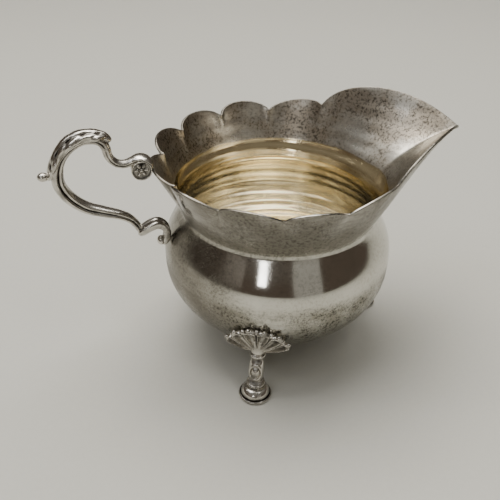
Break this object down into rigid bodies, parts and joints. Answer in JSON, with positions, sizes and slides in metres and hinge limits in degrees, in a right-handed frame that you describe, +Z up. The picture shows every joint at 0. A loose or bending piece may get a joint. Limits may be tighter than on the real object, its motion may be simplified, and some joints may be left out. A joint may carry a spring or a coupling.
{
  "type": "cream jug",
  "caption": "Small round-bellied metal cream jug with a scalloped flared rim, broad pouring lip, double-scroll handle and shell-headed legs on pad feet.",
  "frame": {"origin": "middle of the jug's footprint box, on the table under it", "axes": "+X towards the pouring lip, -X towards the handle, +Z up"},
  "size_m": [0.1354, 0.0794, 0.0836],
  "materials": {
    "worn_silver": "old polish with fine scratches and tarnish specks, gilt inside",
    "polished_silver": "cast, polished, dark in the hollows"
  },
  "bodies": {
    "root": {"bowl": "worn_silver", "handle_main_scroll": "polished_silver", "handle_leaf_cap": "polished_silver", "handle_upper_bend": "polished_silver", "handle_rosette": "polished_silver", "handle_lower_curl": "polished_silver", "leg_shell_spout": "polished_silver", "leg_spout": "polished_silver", "foot_pad_spout": "polished_silver", "leg_shell_left": "polished_silver", "leg_left": "polished_silver", "foot_pad_left": "polished_silver", "leg_shell_right": "polished_silver", "leg_right": "polished_silver", "foot_pad_right": "polished_silver"}
  },
  "joints": []
}
